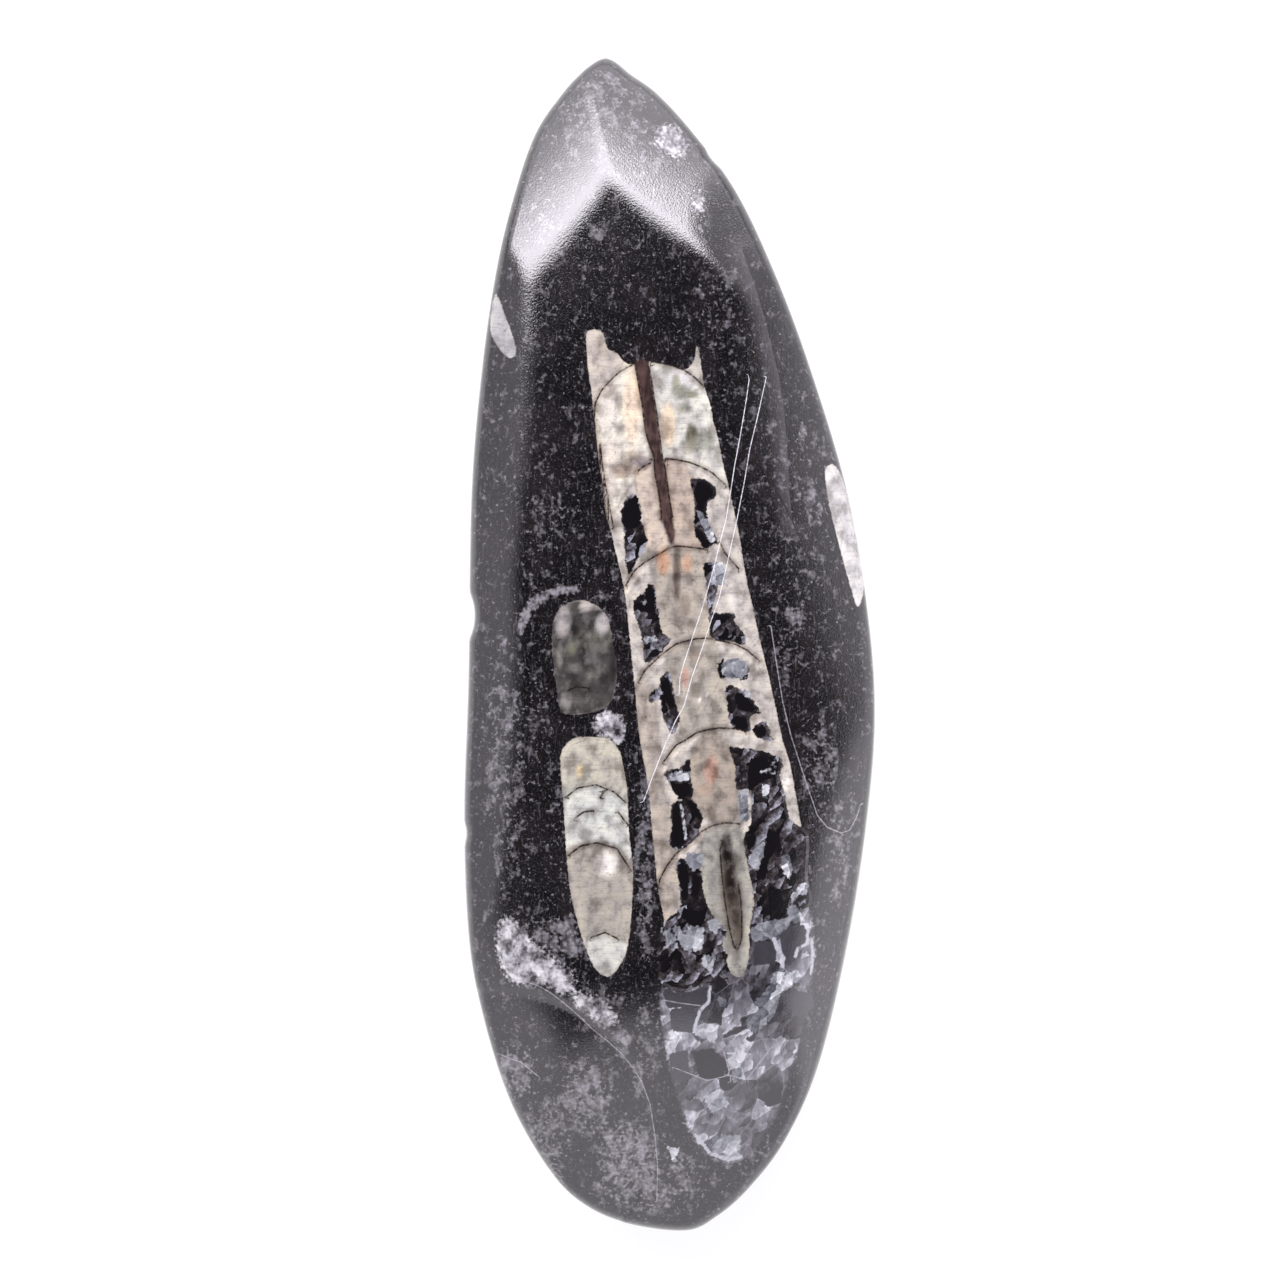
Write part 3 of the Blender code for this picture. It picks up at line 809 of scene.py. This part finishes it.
def srgb(code):
    """A colour written as sRGB hex, in linear values."""
    parts = [int(code[i : i + 2], 16) / 255 for i in (1, 3, 5)]
    return [c / 12.92 if c <= 0.04045 else ((c + 0.055) / 1.055) ** 2.4 for c in parts] + [1]


def give(shader, values):
    """Sets a shader's values, of which those in hex are colours."""
    for socket, value in values.items():
        shader.inputs[socket].default_value = srgb(value) if isinstance(value, str) else value


def light_studio():
    """A white tent, open round the lens and brighter to the right and the round end, and its softboxes."""
    world = bpy.data.worlds.new("white_tent")
    bpy.context.scene.world = world
    world.use_nodes = True
    tree = world.node_tree
    tree.nodes.clear()
    towards = add(tree, "SeparateXYZ", {0: add(tree, "TexCoord", {}).outputs["Generated"]})
    strength = 1.0
    for axis, glow, how in TENT:
        follows = dict(enumerate((towards.outputs[axis], *glow)))
        glow = add(tree, "MapRange", follows, interpolation_type=how).outputs[0]
        strength = add(tree, "Math", {0: glow, 1: strength}, operation="MULTIPLY").outputs[0]
    light = add(tree, "Background", {"Color": srgb(DAYLIGHT), "Strength": strength}).outputs[0]
    add(tree, "OutputWorld", {"Surface": light})
    for lamp in SOFTBOXES:
        softbox(*lamp)


def make_floor():
    """A sheet of opal acrylic over lamps: it glows evenly, so the stone throws hardly any shadow on it."""
    bm = bmesh.new()
    bmesh.ops.create_circle(bm, cap_ends=True, segments=64, radius=FLOOR_RADIUS)
    mesh = bpy.data.meshes.new("light_table")
    bm.to_mesh(mesh)
    bm.free()
    floor = put("light_table", mesh)
    material = bpy.data.materials.new("opal_acrylic_lit_from_below")
    material.use_nodes = True
    shader = material.node_tree.nodes["Principled BSDF"]
    give(shader, OPAL)
    mesh.materials.append(material)


def look_down():
    """A long lens straight above the polished face, with the pointed end up."""
    camera = put("camera", bpy.data.cameras.new("camera"))
    camera.data.lens = LENS
    camera.data.sensor_width = SENSOR_WIDTH
    height = RIM_LEVEL + VIEW_WIDTH * LENS / SENSOR_WIDTH
    camera.location = (GRID_CENTRE_AT[0] * MM, GRID_CENTRE_AT[1] * MM, height)
    bpy.context.scene.camera = camera


# ---- polished orthoceras limestone
PATTERNS = {
    # each pattern's grains: how long across and along the stone, in mm, and how many finer ones they hold
    "mottle": (3.2, 4.5, 2),
    "cloudy": (1.3, 1.6, 3),
    "haze": (0.9, 1.3, 5),
    "grain": (0.18, 0.18, 2),
    "streak": (0.24, 1.3, 2),
    "banding": (1.6, 0.16, 1),
    "fray": (0.35, 0.35, 2),
}
EDGES = {
    # how soft each drawn shape's edge is and how far its grains fray it, both in mm
    "shell": (0.05, 0.25),
    "patch": (0.25, 1.60),
    "spar": (0.20, 0.90),
    "pocket": (0.06, 0.50),
    "black": (0.06, 0.60),
    "grey": (0.05, 0.30),
    "light": (0.06, 0.60),
    "tube": (0.12, 0.20),
    "vein": (0.06, 0.30),
}
LINES = {
    # half the width of each kind of line and how soft its edge is, both in mm
    "wall": (0.085, 0.050),
    "scratch": (0.032, 0.030),
    "hairline": (0.040, 0.040),
}
LINE_WEAR = (0.35, 0.55, 0.45, 1.0)  # a line is worn to 0.45 of its strength where the fray is low
LINE_REACH = (0.45, 0.30)  # mm: past this, where its distance can change sign again, no line is drawn
CRYSTALS = {"small": 0.8, "large": 2.3}  # how wide the spar's crystals are, in mm
CRYSTAL_LEAN = 35  # degrees
CRYSTAL_STRETCH = 0.55  # their width as a share of their length
CRYSTAL_SHADE = 1.4  # how far a cut face's tone changes across it
CRYSTAL_EDGE = (0.07, 0.01)  # mm, from where a seam between crystals starts to where it is whole
GLINT_EDGE = (-0.02, 0.04)  # mm across a glint's edge
GLINT_FADE = 1.8  # mm to where it has faded off
GLOSS = {"Roughness": 0.12, "IOR": 1.6, "Coat Weight": 1.0, "Coat Roughness": 0.06}
RIPPLE = 0.017  # mm that the polish's fine ripple is high
PLUCKED = 0.03  # mm that coarse spar lies below the rest
PLUCKED_EDGE = 0.3  # mm over which it gets there
VARIED = {
    # what varies: its level, how much of each pattern it takes, and its colours from dark to light. In spar
    # every crystal has its own tone, as the dark stone shows through it
    "crowded": (-0.59, {"haze": 1, "cloud": 0.21, "fray": 0.5}),
    "scattered": (-0.295, {"fray": 1, "cloud": 0.105}),
    "mud": (-1.061, {"mottle": 3.03}, "#050405", "#0c0a0c", "#171416"),
    "dark_spar": (-0.30, {"small": 0.75, "fray": 0.8},
                  "#070608", "#0f0d10", "#1c181a", "#3b3738", "#5e5d64", "#8d8f97"),
    "grey_spar": (-0.58, {"large": 0.60, "small": 0.35, "streak": 0.35, "haze": 0.7},
                  "#19171b", "#343236", "#4a484d", "#626166", "#84858a", "#b4b6ba"),
    "smooth_spar": (0.0, {"haze": 0.35}, "#2a292d", "#3c3b40", "#504f55", "#62626a"),
    # light_spar: pale crystal, with painted highlights where its cleavage catches the light
    "light_spar": (-0.22, {"large": 0.45, "small": 0.30, "fray": 0.6},
                   "#3a3d43", "#5e6166", "#83868a", "#a8abad", "#cfd1d1"),
    "loose_shell": (-1.25, {"cloudy": 2.4, "fray": 1.1}, "#232124", "#6d6b6e", "#a6a6a8", "#c8c8c8"),
    "tube_filling": (-0.55, {"streak": 0.7, "cloudy": 1.4}, "#160f10", "#2f2221", "#4b3a36", "#6f5d57"),
}  # fmt: skip
TOUCHES = {
    # what is laid over each colour: how, its own colour, and where: a pattern, its two ends and its share there
    "mud": (  # nearly black with bitumen, hazed where fine shell grit crowds in it, with a few whole grains
        ("MIX", "#807e82", "crowded", 0.24, 0.62, 1),
        ("MIX", "#646266", "grain", 0.55, 0.80, 0.40),
        ("MIX", "#6f6d71", "streak", 0.60, 0.76, 0.30),
        ("MIX", "#88868a", "scattered", 0.345, 0.45, 0.50),
        # painted glint: grey reflected light mixed into the mud beside the glint path
        ("MIX", "#615e62", "glinting", 0, 1, 0.35),
    ),
    "calcite": (  # cream and clouded, veined along its crystals, browner beside the walls
        ("OVERLAY", "#e8e6dc", "cloudy", 0.52, 0.36, 0.5),
        ("MULTIPLY", "#8b8278", "cloudy", 0.50, 0.66, 0.6),
        ("MULTIPLY", "#8d8478", "banding", 0.45, 0.70, 0.2),
        ("MULTIPLY", "#7a7470", "fray", 0.60, 0.76, 0.5),
        ("MIX", "#918e89", "haze", 0.50, 0.66, 0.22),
        ("OVERLAY", "#d8d6d0", "shell", 0.9, 0.2, 0.35),
        ("OVERLAY", "#d8d6d0", "pocket", -0.6, -0.15, 0.40),
        ("MULTIPLY", "#8a827c", "crystal_edge", 0, 1, 0.2),
        ("MULTIPLY", "#8f7a6a", "wall_near", 0.50, 0.05, 0.55),
    ),
    "grey_spar": (("MIX", "#b1b3b8", "crystal_edge", 0, 1, 0.14),),
}
LAYERS = {
    # what is drawn over the mud, each over those before it, and what fills it
    "patch": "loose_shell",
    "spar": "grey_spar",
    "shell": "calcite",
    "pocket": "dark_spar",
    "black": "#0a080b",
    "grey": "smooth_spar",
    # pale crystals, with painted highlights off the spar's cleavage
    "light": "light_spar",
    # pale veins, and painted glints off the dark spar's cleavage
    "vein": "#a2a5a9",
    "hairline": "#98969c",
    "tube": "tube_filling",
    "wall": "#1c1515",
    "scratch": "#e6e8ea",
}


def fossil_values(tree, place):
    """The patterns and the drawing as sockets by name, from a place in mm."""
    made = {}
    for name, (across, along, finer) in PATTERNS.items():
        grid = {0: place, 1: (1 / across, 1 / along, 1 / across)}
        spread = add(tree, "VectorMath", grid, operation="MULTIPLY").outputs[0]
        made[name] = add(tree, "TexNoise", {"Vector": spread, "Scale": 1.0, "Detail": finer}).outputs["Fac"]
    for name in ("cloud", "glint", "glint_near", *EDGES, *LINES, *(name + "_near" for name in LINES)):
        made[name] = add(tree, "Attribute", {}, attribute_name=name).outputs["Fac"]
    made["calcite"] = add(tree, "Attribute", {}, attribute_name="calcite_colour").outputs["Color"]

    for name, (soft, fray) in EDGES.items():
        frayed = {0: made["fray"], 1: fray, 2: made[name]}
        frayed = add(tree, "Math", frayed, operation="MULTIPLY_ADD").outputs[0]
        edge = {0: frayed, 1: fray / 2 - soft, 2: fray / 2 + soft}
        made[name + "_share"] = add(tree, "MapRange", edge).outputs[0]
    worn = add(tree, "MapRange", dict(enumerate((made["fray"], *LINE_WEAR)))).outputs[0]
    for name, (half_width, soft) in LINES.items():
        off = add(tree, "Math", {0: made[name]}, operation="ABSOLUTE").outputs[0]
        line = {0: off, 1: half_width + soft, 2: half_width - soft, 4: worn}
        line = add(tree, "MapRange", line).outputs[0]
        near = add(tree, "MapRange", dict(enumerate((made[name + "_near"], *LINE_REACH)))).outputs[0]
        made[name + "_share"] = add(tree, "Math", {0: line, 1: near}, operation="MULTIPLY").outputs[0]
    # where the painted glint lies: beside each glint path, fading off with distance from it
    beside = add(tree, "MapRange", dict(enumerate((made["glint"], *GLINT_EDGE)))).outputs[0]
    near = add(tree, "MapRange", {0: made["glint_near"], 1: GLINT_FADE, 2: 0.0}).outputs[0]
    made["glinting"] = add(tree, "Math", {0: beside, 1: near}, operation="MULTIPLY").outputs[0]

    # every crystal has its own tone, and its cut face shades off to one side
    lean = math.radians(CRYSTAL_LEAN)
    turned = add(tree, "VectorRotate", {0: place, "Angle": lean}, rotation_type="Z_AXIS")
    stretched = {0: turned.outputs[0], 1: (1.0, CRYSTAL_STRETCH, 1.0), 2: made["cloudy"]}
    wander = add(tree, "VectorMath", stretched, operation="MULTIPLY_ADD").outputs[0]
    for name, size in CRYSTALS.items():
        cell = add(tree, "TexVoronoi", {"Vector": wander, "Scale": 1 / size})
        colour, middle = cell.outputs["Color"], cell.outputs["Position"]
        off_middle = add(tree, "VectorMath", {0: wander, 1: middle}, operation="SUBTRACT").outputs[0]
        lean = add(tree, "VectorMath", {0: colour, 1: (0.5, 0.5, 0.5)}, operation="SUBTRACT").outputs[0]
        shade = add(tree, "VectorMath", {0: off_middle, 1: lean}, operation="DOT_PRODUCT").outputs["Value"]
        tone = add(tree, "SeparateColor", {"Color": colour}).outputs[0]
        shaded = {0: shade, 1: CRYSTAL_SHADE / size, 2: tone}
        made[name] = add(tree, "Math", shaded, operation="MULTIPLY_ADD").outputs[0]
    cell = {"Vector": wander, "Scale": 1 / size}
    edge = add(tree, "TexVoronoi", cell, feature="DISTANCE_TO_EDGE").outputs[0]
    edge = {0: edge, 1: CRYSTAL_EDGE[0] / size, 2: CRYSTAL_EDGE[1] / size}
    made["crystal_edge"] = add(tree, "MapRange", edge).outputs[0]
    return made


def orthoceras_limestone():
    """Black orthoceras limestone, ground and polished: a deep wet gloss over the fossils' pale calcite.

    Fine bitumen makes the mud nearly black, with pale shell grit in it. The shells are calcite: clouded and
    cream where it is fine, dark as glass where coarse spar fills a chamber and the black shows through it.
    """
    material = bpy.data.materials.new("polished_orthoceras_limestone")
    material.use_nodes = True
    tree = material.node_tree
    shader = tree.nodes["Principled BSDF"]
    object_place = add(tree, "TexCoord", {}).outputs["Object"]
    place = add(tree, "VectorMath", {0: object_place, "Scale": 1 / MM}, operation="SCALE").outputs[0]
    made = fossil_values(tree, place)
    for name, (value, parts, *colours) in VARIED.items():
        for pattern, weight in parts.items():
            part = {0: made[pattern], 1: weight, 2: value}
            value = add(tree, "Math", part, operation="MULTIPLY_ADD").outputs[0]
        made[name] = value
        if colours:
            ramp = add(tree, "ValToRGB", {"Fac": value})
            stops = ramp.color_ramp.elements
            for _ in colours[2:]:
                stops.new(1)
            for index, colour in enumerate(colours):
                stops[index].position = index / (len(colours) - 1)
                stops[index].color = srgb(colour)
            made[name] = ramp.outputs[0]
    for name, touches in TOUCHES.items():
        for how, colour, pattern, start, end, most in touches:
            share = add(tree, "MapRange", {0: made[pattern], 1: start, 2: end, 4: most}).outputs[0]
            touch = {0: share, 6: made[name], 7: srgb(colour)}
            made[name] = add(tree, "Mix", touch, data_type="RGBA", blend_type=how).outputs[2]
    surface = made["mud"]
    for name, filling in LAYERS.items():
        colour = srgb(filling) if filling.startswith("#") else made[filling]
        layer = {0: made[name + "_share"], 6: surface, 7: colour}
        surface = add(tree, "Mix", layer, data_type="RGBA").outputs[2]
    tree.links.new(surface, shader.inputs["Base Color"])
    plucked = add(tree, "MapRange", {0: made["pocket"], 2: PLUCKED_EDGE, 4: -PLUCKED}).outputs[0]
    relief = {0: made["grain"], 1: RIPPLE, 2: plucked}
    relief = add(tree, "Math", relief, operation="MULTIPLY_ADD").outputs[0]
    polish = add(tree, "Bump", {"Height": relief, "Distance": MM})
    for socket in ("Normal", "Coat Normal"):
        tree.links.new(polish.outputs[0], shader.inputs[socket])
    give(shader, GLOSS)
    return material


stone = make_stone()
stone.data.materials.append(orthoceras_limestone())
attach(stone, "root")
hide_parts("polished_fossil_stone")
light_studio()
make_floor()
look_down()
bpy.context.scene.view_settings.view_transform = "Standard"
